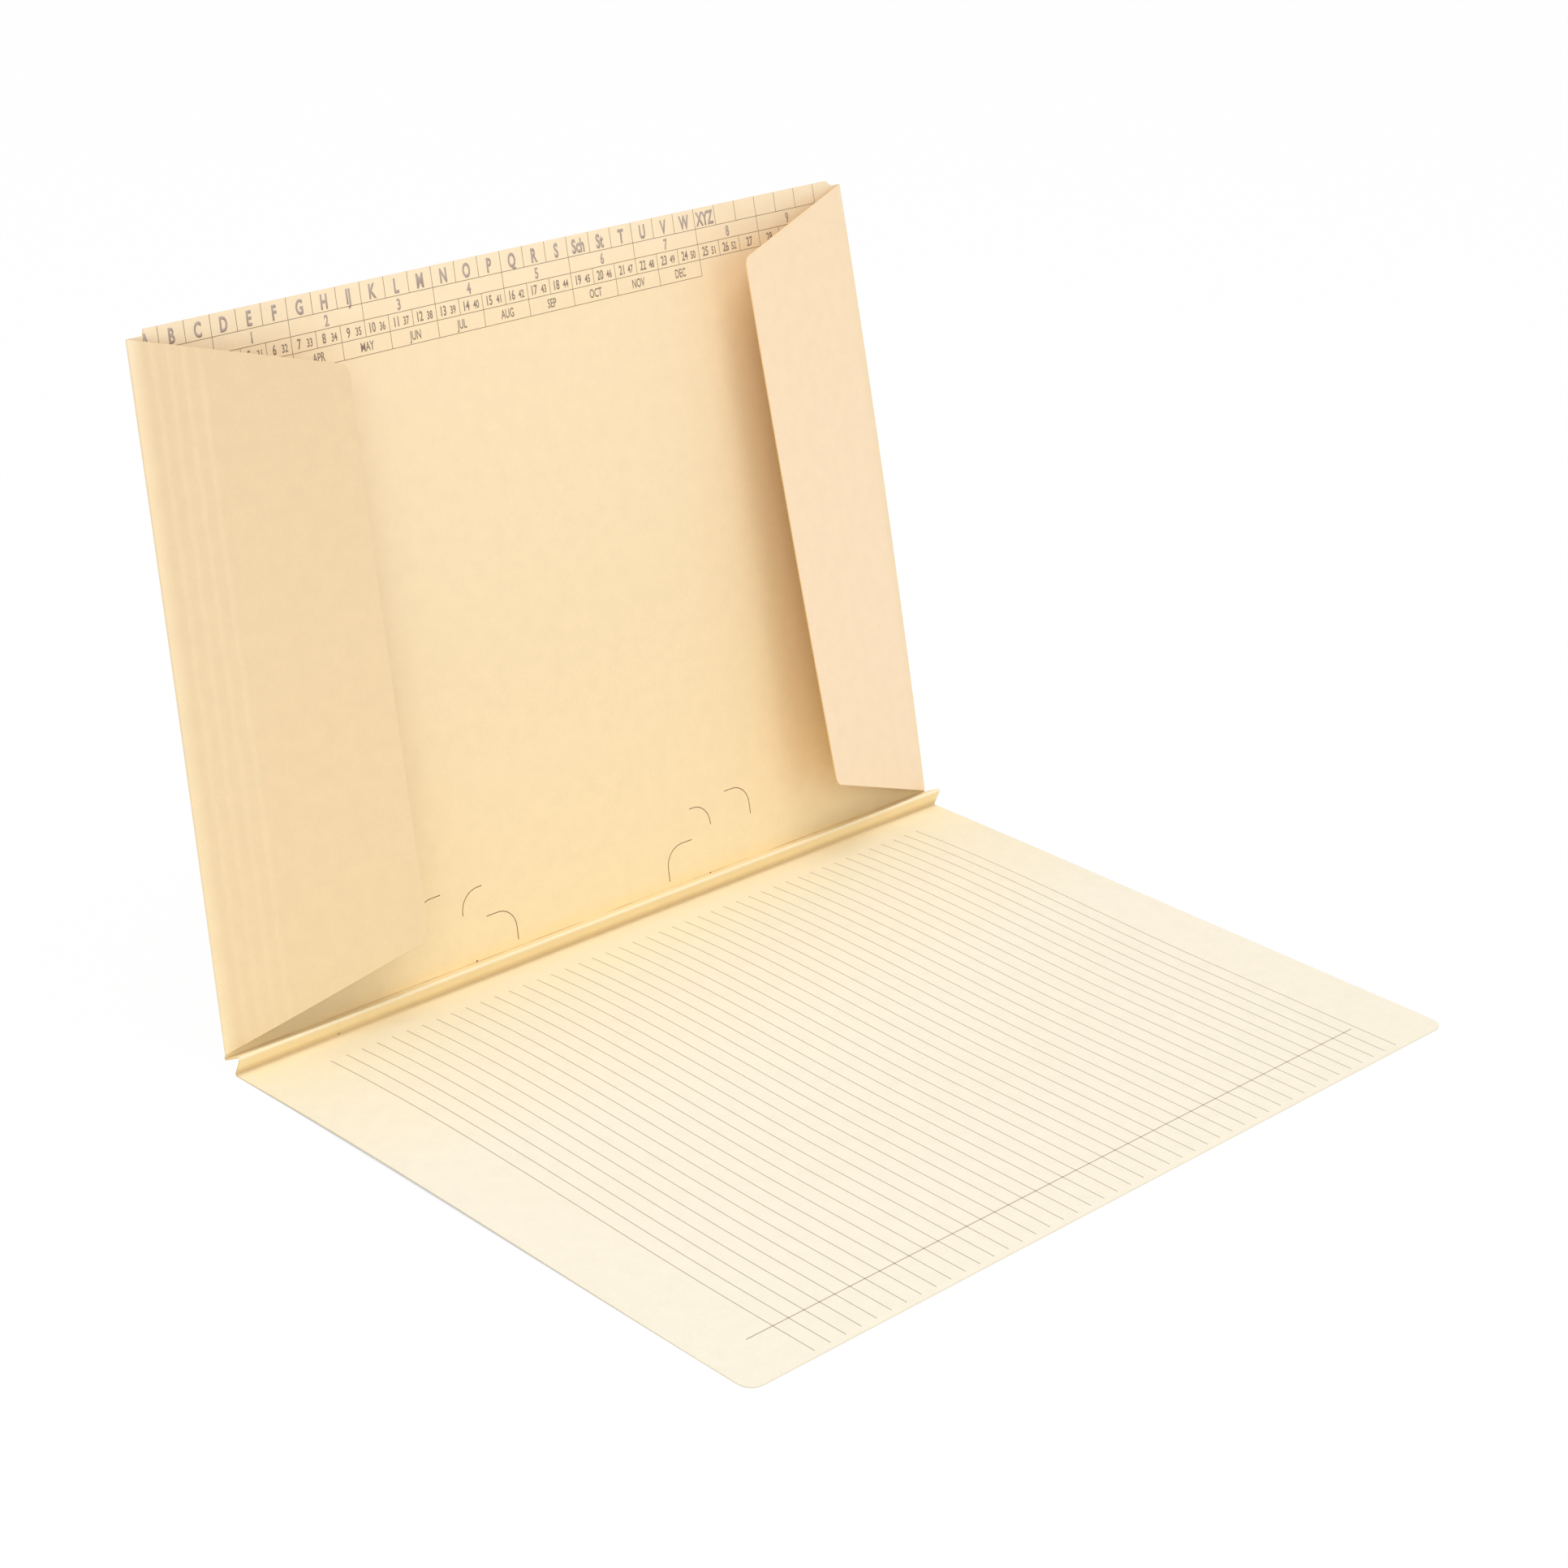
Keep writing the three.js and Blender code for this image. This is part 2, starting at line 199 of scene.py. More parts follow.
# Both flaps are folded over and spring open again, by the angles at their top and bottom. Their
# top and bottom edges are slanted, and draw in by the tapers. A fold takes up fold_laid of the
# blank. Four low score beads run up the left flap beside its fold, where it can be creased
# again for a thicker filling.
flap_reach = 79
flap_width = flap_reach - fold_reach
flap_corner = 4
fold_steps = 8
fold_laid = 1.5
score_first = 7.6
score_spacing = 5.4
score_count = 4
bead_half_width = 0.7
bead_height = 0.12
bead_steps = 3
plain_steps = 10
round_steps = 6
left_flap = {"side": -1, "x": fold_reach, "open_top": 7.6, "open_bottom": 17.1,
             "taper_top": 21.3, "taper_bottom": 23,
             "scores": [score_first + score_spacing * index for index in range(score_count)]}
right_flap = {"side": 1, "x": folder_width - fold_reach, "open_top": 15.5, "open_bottom": 21.4,
              "taper_top": 18.4, "taper_bottom": 24.4, "scores": []}


def flap_stations(flap):
    """Distances from the fold of a flap's columns: over the beads, plain, and round its end."""
    stations = []
    for centre in flap["scores"]:
        stations += [centre + bead_half_width * step / bead_steps
                     for step in range(-bead_steps, bead_steps + 1)]
    start = stations[-1] if stations else 0
    end = flap_width - flap_corner
    stations += [mix(start, end, step / plain_steps) for step in range(1, plain_steps + 1)]
    stations += [end + flap_corner * math.sin(step / round_steps * math.pi / 2)
                 for step in range(1, round_steps + 1)]
    return stations


def drawn_in(distance, taper):
    """How far a slanted edge with its rounded corner has drawn in, at a distance from the fold."""
    slope = taper / flap_width
    centre = flap_width - flap_corner
    stretch = math.hypot(1, slope)
    if distance <= centre + flap_corner * slope / stretch:
        return slope * distance
    beyond = min(flap_corner, distance - centre)
    return slope * centre + flap_corner * stretch - math.sqrt(flap_corner**2 - beyond**2)


def flap_angle(flap, height):
    from_top = (1 - height / back_height) ** 2
    return math.radians(mix(flap["open_top"], flap["open_bottom"], from_top))


def flap_point(flap, height, distance, turn_share=1.0):
    lean = back_lean(flap["x"])
    outward = Vector((flap["side"], 0, 0))
    forward = Vector((0, -math.cos(lean), math.sin(lean)))
    angle = flap_angle(flap, height)
    turn = (math.pi - angle) * turn_share
    point = panel_point(flap["x"], height)
    point += outward * fold_radius * math.sin(turn)
    point += forward * fold_radius * (1 - math.cos(turn))
    across = [math.pi * limit((distance - centre) / bead_half_width, -1, 1)
              for centre in flap["scores"]]
    bead = sum(bead_height / 2 * (1 + math.cos(share)) for share in across)
    point += outward * (bead * math.sin(angle) - distance * math.cos(angle))
    point += forward * (bead * math.cos(angle) + distance * math.sin(angle))
    return point


def flap_vertex(flap, column, row):
    """One point of a flap: its place on the folder, and on the flat blank."""
    share = row_shares[row]
    foot = fold_start(flap["x"])
    if column < fold_steps:
        height = mix(foot, back_height, share)
        turned = (column + 1) / (fold_steps + 1)
        return flap_point(flap, height, 0, turned), (-fold_laid * turned, panel_start + height)
    distance = ([0] + flap_stations(flap))[column - fold_steps]
    low = foot + drawn_in(distance, flap["taper_bottom"])
    high = back_height - drawn_in(distance, flap["taper_top"])
    height = mix(low, high, share)
    return flap_point(flap, height, distance), (-fold_laid - distance, panel_start + height)


bpy.ops.object.select_all(action="DESELECT")
bpy.ops.mesh.primitive_grid_add(x_subdivisions=columns, y_subdivisions=main_rows, size=1,
                                calc_uvs=False)
card = bpy.context.object
card.name = "manila_card_sheet"
card.data.name = "manila_card_sheet"
card.data.transform(Matrix.Translation((columns / 2, main_rows / 2, 0))
                    @ Matrix.Diagonal((columns, main_rows, 1, 1)))
for flap in (left_flap, right_flap):
    side_column = 0 if flap["side"] < 0 else columns
    for edge in card.data.edges:
        ends = [card.data.vertices[index].co for index in edge.vertices]
        edge.select = all(abs(end.x - side_column) < 0.1 and end.y > hinge_row - 0.1
                          for end in ends)
    for vertex in card.data.vertices:
        vertex.select = abs(vertex.co.x - side_column) < 0.1 and vertex.co.y > hinge_row - 0.1
    for face in card.data.polygons:
        face.select = False
    bpy.ops.object.mode_set(mode="EDIT")
    bpy.context.tool_settings.mesh_select_mode = (False, True, False)
    for step in range(fold_steps + 1 + len(flap_stations(flap))):
        bpy.ops.mesh.extrude_edges_move(TRANSFORM_OT_translate={"value": (flap["side"], 0, 0)})
    bpy.ops.object.mode_set(mode="OBJECT")

column_points = [folded_column(share) for share in column_shares]
flat_places = []
for vertex in card.data.vertices:
    column, row = round(vertex.co.x), round(vertex.co.y)
    if 0 <= column <= columns:
        point, flat = column_points[column][row]
    elif column < 0:
        point, flat = flap_vertex(left_flap, -column - 1, row - hinge_row)
    else:
        point, flat = flap_vertex(right_flap, column - columns - 1, row - hinge_row)
        flat = (folder_width - flat[0], flat[1])
    vertex.co = in_metres(point)
    flat_places.append(flat)

flat_map = card.data.uv_layers.new(name="flat_blank")
for loop in card.data.loops:
    across, along = flat_places[loop.vertex_index]
    flat_map.data[loop.index].uv = (across / 1000, along / 1000)


def linear(hex_colour):
    channels = [int(hex_colour[start:start + 2], 16) / 255 for start in (1, 3, 5)]
    return [value / 12.92 if value <= 0.04045 else ((value + 0.055) / 1.055) ** 2.4
            for value in channels] + [1]


def add_node(tree, kind, settings=(), links=()):
    node = tree.nodes.new(kind)
    for name, value in dict(settings).items():
        if isinstance(name, int) or name in node.inputs:
            node.inputs[name].default_value = value
        else:
            setattr(node, name, value)
    for name, source in dict(links).items():
        tree.links.new(source, node.inputs[name])
    return node


# Manila card is uncoated pulp board: matte, with a cloudy formation, short fibres and a few
# brown specks. Over its own tone it is painted palest on the cover, a painted highlight of the
# face turned up to the lamps, yellower at the spine and panel for light bounced off the cover,
# and warmer on the flaps: these are painted light and shade.
# The material reads its place on the flat blank in metres, from the left end of the cover's
# crease. The card's tones go by millimetres up the blank. Those of the flaps go by the metres
# across it where each begins and is full, and then by height.
blank_length = 523.6
# The stops from 0.3 to 3.6 mm are painted shade low on the pleat's front strip, which leans over
# the cover; those just in front of the crease are painted lighter against the crease's shade
card_tones_and_painted_light = [(-253.4, "#f8f0dd"), (-100, "#f8f0dd"), (-35, "#f8edd2"), (-10, "#faeccb"),
              (-0.4, "#fcedc8"), (0.3, "#dec59a"), (2.0, "#e8cf9f"), (3.6, "#fae5b4"),
              (15, "#fbe6b8"), (21, "#fbe8bc"), (45, "#fae3b8"), (130, "#f6dfb6"),
              (245, "#f7dfb8"), (270, "#f9e4c2")]
# The flaps' tones are painted shade: the left flap, turned from the light, is painted darker than
# the right, and each is a little darker at its top
flap_tones_with_painted_shade = [(-0.0012, -0.006, "#f0d6ab", "#e8cea6"), (0.3512, 0.356, "#fce3c2", "#f8debb")]
ridge_line = 0.0089
foot_line = 0.0192
# Drift, margin and full reach of the painted highlight on the left flap's score beads
bead_highlight_drift = 0.002
bead_highlight_margin, bead_highlight_full = 0.0025, 0.0018
mark_places = [(0.112, 0.0197), (0.2291, 0.0192), (0.0438, 0.0009)]


def card_material(name, painted_shade_value, warmth=1.0):
    material = bpy.data.materials.new(name)
    material.use_nodes = True
    tree = material.node_tree
    shader = tree.nodes["Principled BSDF"]
    shader.inputs["Roughness"].default_value = 0.85
    shader.inputs["Specular IOR Level"].default_value = 0.25
    blank = add_node(tree, "ShaderNodeUVMap", {"uv_map": "flat_blank"}).outputs["UV"]
    place = add_node(tree, "ShaderNodeSeparateXYZ", links={"Vector": blank})
    along = add_node(tree, "ShaderNodeMapRange",
                     {"From Min": -cover_depth / 1000,
                      "From Max": (blank_length - cover_depth) / 1000},
                     {"Value": place.outputs["Y"]})
    tone = add_node(tree, "ShaderNodeValToRGB", links={"Fac": along.outputs["Result"]})
    ramp = tone.color_ramp.elements
    while len(ramp) < len(card_tones_and_painted_light):
        ramp.new(0.5)
    for stop, (distance, colour) in zip(ramp, card_tones_and_painted_light):
        stop.position = (distance + cover_depth) / blank_length
        stop.color = linear(colour)
    colour = tone.outputs["Color"]
    upward = add_node(tree, "ShaderNodeMapRange", {"From Min": 0.04, "From Max": 0.26},
                      {"Value": place.outputs["Y"]}).outputs["Result"]
    for start, end, low, high in flap_tones_with_painted_shade:
        inside = add_node(tree, "ShaderNodeMapRange", {"From Min": start, "From Max": end},
                          {"Value": place.outputs["X"]})
        flap_tone = add_node(tree, "ShaderNodeMix",
                             {"data_type": "RGBA", 6: linear(low), 7: linear(high)},
                             {0: upward}).outputs[2]
        colour = add_node(tree, "ShaderNodeMix", {"data_type": "RGBA"},
                          {0: inside.outputs["Result"], 6: colour, 7: flap_tone}).outputs[2]

    # The ridge of the pleat gets a painted highlight, a pale line along the fold's crest
    from_ridge = add_node(tree, "ShaderNodeMath", {"operation": "SUBTRACT", 1: ridge_line},
                          {0: place.outputs["Y"]}).outputs[0]
    from_ridge = add_node(tree, "ShaderNodeMath", {"operation": "ABSOLUTE"},
                          {0: from_ridge}).outputs[0]
    ridge_highlight = add_node(tree, "ShaderNodeMapRange",
                     {"From Min": 0.0014, "From Max": 0.0003, "To Max": 0.5},
                     {"Value": from_ridge})
    colour = add_node(tree, "ShaderNodeMix", {"data_type": "RGBA", 7: linear("#fff4da")},
                      {0: ridge_highlight.outputs["Result"], 6: colour}).outputs[2]

    # The foot of the panel is creased hard, and its fold gets painted shade: a brown line, broken
    # in places by noise
    painted_crease_shade = add_node(tree, "ShaderNodeTexNoise", {"Scale": 45, "Detail": 3.0}, {"Vector": blank})
    painted_crease_shade = add_node(tree, "ShaderNodeMapRange",
                    {"From Min": 0.34, "From Max": 0.6, "To Max": 0.5},
                    {"Value": painted_crease_shade.outputs["Fac"]}).outputs["Result"]
    from_foot = add_node(tree, "ShaderNodeMath", {"operation": "SUBTRACT", 1: foot_line},
                         {0: place.outputs["Y"]}).outputs[0]
    from_foot = add_node(tree, "ShaderNodeMath", {"operation": "ABSOLUTE"},
                         {0: from_foot}).outputs[0]
    on_fold = add_node(tree, "ShaderNodeMapRange", {"From Min": 0.0005, "From Max": 0.0002},
                       {"Value": from_foot})
    painted_crease_shade = add_node(tree, "ShaderNodeMath", {"operation": "MULTIPLY"},
                    {0: painted_crease_shade, 1: on_fold.outputs["Result"]}).outputs[0]
    colour = add_node(tree, "ShaderNodeMix", {"data_type": "RGBA", 7: linear("#b98a4c")},
                      {0: painted_crease_shade, 6: colour}).outputs[2]

    # The score beads of the left flap get a painted highlight: pale stripes with uneven edges
    first_bead = (fold_laid + score_first) / 1000
    last_bead = score_spacing * (score_count - 1) / 1000
    drift = add_node(tree, "ShaderNodeTexNoise", {"Scale": 60, "Detail": 2.0},
                     {"Vector": blank}).outputs["Fac"]
    drift = add_node(tree, "ShaderNodeMath",
                     {"operation": "MULTIPLY_ADD", 1: bead_highlight_drift, 2: -first_bead - bead_highlight_drift / 2},
                     {0: drift}).outputs[0]
    from_first = add_node(tree, "ShaderNodeMath", {"operation": "SUBTRACT"},
                          {0: drift, 1: place.outputs["X"]}).outputs[0]
    from_bead = add_node(tree, "ShaderNodeMath",
                         {"operation": "PINGPONG", 1: score_spacing / 2 / 1000},
                         {0: from_first}).outputs[0]
    bead_highlight = add_node(tree, "ShaderNodeMapRange",
                      {"From Min": 0.0015, "From Max": 0.0004, "To Max": 0.16},
                      {"Value": from_bead}).outputs["Result"]
    for start, end in ((-bead_highlight_margin, -bead_highlight_full), (last_bead + bead_highlight_margin, last_bead + bead_highlight_full)):
        gate = add_node(tree, "ShaderNodeMapRange", {"From Min": start, "From Max": end},
                        {"Value": from_first}).outputs["Result"]
        bead_highlight = add_node(tree, "ShaderNodeMath", {"operation": "MULTIPLY"},
                          {0: bead_highlight, 1: gate}).outputs[0]
    colour = add_node(tree, "ShaderNodeMix", {"data_type": "RGBA", 7: linear("#fbe6c3")},
                      {0: bead_highlight, 6: colour}).outputs[2]

    # Cloudy formation of the pulp, 7 mm across, and its short fibres, drawn 1 mm wide to show
    clouds = add_node(tree, "ShaderNodeTexNoise", {"Scale": 140, "Detail": 3.0},
                      {"Vector": blank}).outputs["Fac"]
    fibres = add_node(tree, "ShaderNodeTexNoise",
                      {"Scale": 1000, "Detail": 2.0, "Distortion": 0.6},
                      {"Vector": blank}).outputs["Fac"]
    cloud_tone = add_node(tree, "ShaderNodeMapRange",
                          {"From Min": 0.3, "From Max": 0.7, "To Min": 0.982 * painted_shade_value,
                           "To Max": 1.014 * painted_shade_value}, {"Value": clouds}).outputs["Result"]
    fibre_tone = add_node(tree, "ShaderNodeMapRange",
                          {"From Min": 0.3, "From Max": 0.7, "To Min": 0.985, "To Max": 1.012},
                          {"Value": fibres}).outputs["Result"]
    value = add_node(tree, "ShaderNodeMath", {"operation": "MULTIPLY"},
                     {0: cloud_tone, 1: fibre_tone}).outputs[0]
    colour = add_node(tree, "ShaderNodeHueSaturation", {"Saturation": warmth},
                      {"Value": value, "Color": colour}).outputs["Color"]

    # Sparse brown specks of bark, up to 0.8 mm across, one in every second 35 mm square
    cells = add_node(tree, "ShaderNodeTexVoronoi", {"Scale": 28.6}, {"Vector": blank})
    chosen = add_node(tree, "ShaderNodeSeparateColor", links={"Color": cells.outputs["Color"]})
    size = add_node(tree, "ShaderNodeMapRange",
                    {"From Min": 0.5, "From Max": 1.0, "To Min": 0.0, "To Max": 0.012},
                    {"Value": chosen.outputs["Red"]}).outputs["Result"]
    inside = add_node(tree, "ShaderNodeMath", {"operation": "LESS_THAN"},
                      {0: cells.outputs["Distance"], 1: size}).outputs[0]
    inside = add_node(tree, "ShaderNodeMath", {"operation": "MULTIPLY", 1: 0.3},
                      {0: inside}).outputs[0]
    colour = add_node(tree, "ShaderNodeMix", {"data_type": "RGBA", 7: linear("#a07f4c")},
                      {0: inside, 6: colour}).outputs[2]

    # Three dark marks beside the spine, 0.9 mm across
    for x, y in mark_places:
        mark = add_node(tree, "ShaderNodeVectorMath", {"operation": "DISTANCE", 1: (x, y, 0)},
                        {0: blank}).outputs["Value"]
        mark = add_node(tree, "ShaderNodeMapRange", {"From Min": 0.0006, "From Max": 0.0003},
                        {"Value": mark}).outputs["Result"]
        colour = add_node(tree, "ShaderNodeMix", {"data_type": "RGBA", 7: linear("#94683f")},
                          {0: mark, 6: colour}).outputs[2]
    tree.links.new(colour, shader.inputs["Base Color"])

    # The face is a little rough to the touch, and never quite flat
    waves = add_node(tree, "ShaderNodeTexNoise", {"Scale": 26, "Detail": 1.0},
                     {"Vector": blank})
    uneven = add_node(tree, "ShaderNodeBump", {"Strength": 0.5, "Distance": 0.0004},
                      {"Height": waves.outputs["Fac"]})
    grain = add_node(tree, "ShaderNodeBump", {"Strength": 0.3, "Distance": 0.00006},
                     {"Height": fibres, "Normal": uneven.outputs["Normal"]})
    tree.links.new(grain.outputs["Normal"], shader.inputs["Normal"])
    return material


# The cut edges get a copy of the face material painted darker and warmer: painted shade on the
# thin edges
card_face = card_material("manila_card_face", 1.0)
card_edge_painted_shade = card_material("manila_card_cut_edge_painted_shade", painted_shade_value=0.92, warmth=1.5)

# In the slits the walls are painted dark brown, painted shade in the narrow grooves, so that they
# read as thin brown lines
slit_wall_painted_shade = bpy.data.materials.new("manila_card_slit_painted_shade")
slit_wall_painted_shade.use_nodes = True
tree = slit_wall_painted_shade.node_tree
shader = tree.nodes["Principled BSDF"]
shader.inputs["Roughness"].default_value = 0.95
shader.inputs["Specular IOR Level"].default_value = 0.1
slit_mottle = add_node(tree, "ShaderNodeTexCoord").outputs["Object"]
slit_mottle = add_node(tree, "ShaderNodeTexNoise", {"Scale": 900, "Detail": 2.0}, {"Vector": slit_mottle})
slit_shade_tone = add_node(tree, "ShaderNodeValToRGB", links={"Fac": slit_mottle.outputs["Fac"]})
slit_shade_tone.color_ramp.elements[0].color = linear("#744212")
slit_shade_tone.color_ramp.elements[1].color = linear("#a8692a")
tree.links.new(slit_shade_tone.outputs["Color"], shader.inputs["Base Color"])

for material in (card_face, card_edge_painted_shade, slit_wall_painted_shade):
    card.data.materials.append(material)
board = card.modifiers.new("board", "SOLIDIFY")
board.thickness = card_thickness / 1000
board.offset = 0
board.use_even_offset = True
board.material_offset_rim = 1
bpy.context.view_layer.objects.active = card
bpy.ops.object.modifier_apply(modifier="board")


# Fastener slits. Three mirrored pairs of rounded ears are cut through the foot of the back
# panel with a steel rule, which crushes their lips into a narrow groove from each side.
# Each ear has a level arm, a rounded corner, and a leg down to its foot.
slit_offset = 4.8
slit_middle = folder_width / 2 - slit_offset
slit_corner = 8
slit_corner_steps = 8
ears = [{"distance": 38, "top": 16.2, "foot": 3.1, "arm": 13.4, "turn": 1},
        {"distance": 62, "top": 28.2, "foot": 19.4, "arm": 10, "turn": -1},
        {"distance": 83.3, "top": 30.2, "foot": 17.8, "arm": 12.2, "turn": -1}]

# Half width of the groove, and lift from the middle of the card, at its front, waist and back
groove = [(0.29, 0.35), (0.01, 0), (0.21, -0.35)]
groove_outline = groove + [(-half_width, lift) for half_width, lift in groove[::-1]]


def slit_path(ear, mirror):
    path = [(ear["arm"], ear["top"])]
    for step in range(slit_corner_steps + 1):
        angle = math.pi / 2 * step / slit_corner_steps
        path.append((slit_corner * (1 - math.sin(angle)),
                     ear["top"] - slit_corner * (1 - math.cos(angle))))
    path.append((0, ear["foot"]))
    return [Vector((slit_middle + mirror * (ear["distance"] + ear["turn"] * across), height))
            for across, height in path]


def joined(parts, name):
    """Joins like parts into one named piece, and leaves it selected and active."""
    bpy.ops.object.select_all(action="DESELECT")
    for part in parts:
        part.select_set(True)
    bpy.context.view_layer.objects.active = parts[0]
    if len(parts) > 1:
        bpy.ops.object.join()
    piece = bpy.context.object
    piece.name = name
    piece.data.name = name
    return piece


rules = []
for ear in ears:
    for mirror in (-1, 1):
        path = slit_path(ear, mirror)
        bpy.ops.mesh.primitive_circle_add(vertices=len(groove_outline), radius=1,
                                          fill_type="NGON", calc_uvs=False)
        bpy.ops.object.mode_set(mode="EDIT")
        for step in range(len(path) - 1):
            bpy.ops.mesh.extrude_region_move(TRANSFORM_OT_translate={"value": (0, 0, 1)})
        bpy.ops.object.mode_set(mode="OBJECT")
        rule = bpy.context.object
        for vertex in rule.data.vertices:
            index = round(vertex.co.z)
            turned = math.atan2(vertex.co.y, vertex.co.x) - math.pi / 2
            corner = round(turned / (2 * math.pi) * len(groove_outline)) % len(groove_outline)
            half_width, lift = groove_outline[corner]
            run = path[min(index + 1, len(path) - 1)] - path[max(index - 1, 0)]
            spot = path[index] + Vector((-run.y, run.x)).normalized() * half_width
            vertex.co = in_metres(panel_point(spot.x, spot.y, lift))
        rules.append(rule)
slit_rules = joined(rules, "slit_rules")
slit_rules.data.materials.append(slit_wall_painted_shade)
bpy.ops.object.mode_set(mode="EDIT")
bpy.ops.mesh.select_all(action="SELECT")
bpy.ops.mesh.normals_make_consistent(inside=False)
bpy.ops.object.mode_set(mode="OBJECT")
cut = card.modifiers.new("slits", "BOOLEAN")
cut.operation = "DIFFERENCE"
cut.solver = "EXACT"
cut.material_mode = "TRANSFER"
cut.object = slit_rules
bpy.ops.object.select_all(action="DESELECT")
card.select_set(True)
bpy.context.view_layer.objects.active = card
bpy.ops.object.modifier_apply(modifier="slits")
bpy.data.objects.remove(slit_rules)
bpy.ops.object.shade_smooth_by_angle(angle=math.radians(40))
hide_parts("folded_card")
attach(card, "root")


# Ruled cover. Forty-five thin lines run from the spine to the front edge, and one margin line
# crosses them near the front. They are printed offset in a thin warm grey ink, here a few
# hundredths of a millimetre thick and partly sunk in the card.
ink_lift = 0.02
ink_thickness = 0.03
line_width = 0.3
line_count = 45
line_first, line_spacing = 29.3, 6.683
line_front, line_back = -251, -15
margin_width = 0.35
margin_y, margin_left, margin_right = -233, 18, 321
long_line_steps = 60


def ink(name, hex_colour):
    material = bpy.data.materials.new(name)
    material.use_nodes = True
    shader = material.node_tree.nodes["Principled BSDF"]
    shader.inputs["Base Color"].default_value = linear(hex_colour)
    shader.inputs["Roughness"].default_value = 0.8
    return material


def printed(piece, material):
    """Gives a flat print, the active piece, its ink and thickness, and fixes it to the folder."""
    piece.data.materials.append(material)
    film = piece.modifiers.new("ink_film", "SOLIDIFY")
    film.thickness = ink_thickness / 1000
    film.offset = -1
    bpy.ops.object.modifier_apply(modifier="ink_film")
    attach(piece, "root")


def printed_lines(name, runs, width, place, material):
    """Ribbons of ink along straight runs of (start, end, steps), laid on the card by place."""
    ribbons = []
    for start, end, steps in runs:
        start, end = Vector(start), Vector(end)
        side = Vector((start.y - end.y, end.x - start.x)).normalized() * width
        bpy.ops.mesh.primitive_grid_add(x_subdivisions=steps, y_subdivisions=1, size=1,
                                        calc_uvs=False)
        ribbon = bpy.context.object
        for vertex in ribbon.data.vertices:
            spot = start.lerp(end, vertex.co.x + 0.5) + side * vertex.co.y
            vertex.co = in_metres(place(*spot))
        ribbons.append(ribbon)
    printed(joined(ribbons, name), material)


def on_cover(x, y):
    return cover_point(x, -y, half_thickness + ink_lift)


line_ink = ink("thin_grey_line_ink", "#ac9c83")
ruled = [line_first + line_spacing * index for index in range(line_count)]
printed_lines("cover_ruling",
              [((x, line_front), (x, line_back), long_line_steps) for x in ruled],
              line_width, on_cover, line_ink)
printed_lines("cover_margin_line",
              [((margin_left, margin_y), (margin_right, margin_y), long_line_steps)],
              margin_width, on_cover, line_ink)


# Index. Four rows of boxes are printed along the top of the back panel: letters, tens, days
# and weeks, and months. The lettering is plain and condensed. It is printed offset in the same
# ink as the ruling, which shows palest in the broad letters and darkest in the frame.
frame_left, frame_right = 0.8, 349.2
frame_line_width = 0.22
month_foot, week_foot, tens_foot, letter_foot, letter_top = 226.15, 232.25, 238.05, 243.8, 251.3
column_start, column_width, column_growth = 2.3, 10.718, 0.012
last_column = 30
month_columns = 24
short_line_steps = 2
letter_style = {"height": 5.1, "narrow": 0.66, "weight": 0.035, "y": 247.35}
tens_style = {"height": 3.9, "narrow": 0.7, "weight": 0.03, "y": 240.9}
day_style = {"height": 3.5, "narrow": 0.68, "weight": 0.02, "y": 235.15}
week_style = {"height": 2.9, "narrow": 0.68, "weight": 0.02, "y": 234.9}
month_style = {"height": 3.3, "narrow": 0.66, "weight": 0.015, "y": 229.2}
day_left, week_right = 2.1, 2.4
shared_days = 26
capital_height = 0.729
letters = ["A", "B", "C", "D", "E", "F", "G", "H", "IJ", "K", "L", "M", "N", "O", "P", "Q",
           "R", "S", "Sch", "St", "T", "U", "V", "W", "XYZ"]
months = ["JAN", "FEB", "MAR", "APR", "MAY", "JUN",
          "JUL", "AUG", "SEP", "OCT", "NOV", "DEC"]


def on_panel(x, y):
    return panel_point(x, y, half_thickness + ink_lift)


def column_line(column):
    """The printed columns widen a little to the right, as the photo shows."""
    return column_start + column_width * column + column_growth * column**2


# Letters and days have a box in each column, tens in every three, and months in every two
frame_lines = [((frame_left, month_foot), (column_line(month_columns), month_foot),
                month_columns * short_line_steps)]
frame_lines += [((frame_left, row), (frame_right, row), long_line_steps)
                for row in (week_foot, tens_foot, letter_foot)]
for column in range(1, last_column + 1):
    x = column_line(column)
    frame_lines.append(((x, letter_foot), (x, letter_top), short_line_steps))
    frame_lines.append(((x, week_foot), (x, tens_foot), short_line_steps))
    if column % 3 == 0:
        frame_lines.append(((x, tens_foot), (x, letter_foot), short_line_steps))
    if column % 2 == 0 and column <= month_columns:
        frame_lines.append(((x, month_foot), (x, week_foot), short_line_steps))
printed_lines("index_frame", frame_lines, frame_line_width, on_panel,
              ink("grey_frame_ink", "#8d7a60"))


def lettered(words, x, style):
    """One word of lettering in Blender's own typeface, centred at x on the back panel."""
    bpy.ops.object.text_add()
    text = bpy.context.object
    text.data.body = words
    text.data.offset = style["weight"]
    text.data.resolution_u = 3
    text.data.fill_mode = "FRONT"
    bpy.ops.object.convert(target="MESH")
    word = bpy.context.object
    scale = style["height"] / capital_height
    foot = style["y"] - style["height"] / 2
    spots = [vertex.co.x for vertex in word.data.vertices]
    middle = (min(spots) + max(spots)) / 2
    for vertex in word.data.vertices:
        across = x + (vertex.co.x - middle) * scale * style["narrow"]
        vertex.co = in_metres(on_panel(across, foot + vertex.co.y * scale))
    return word


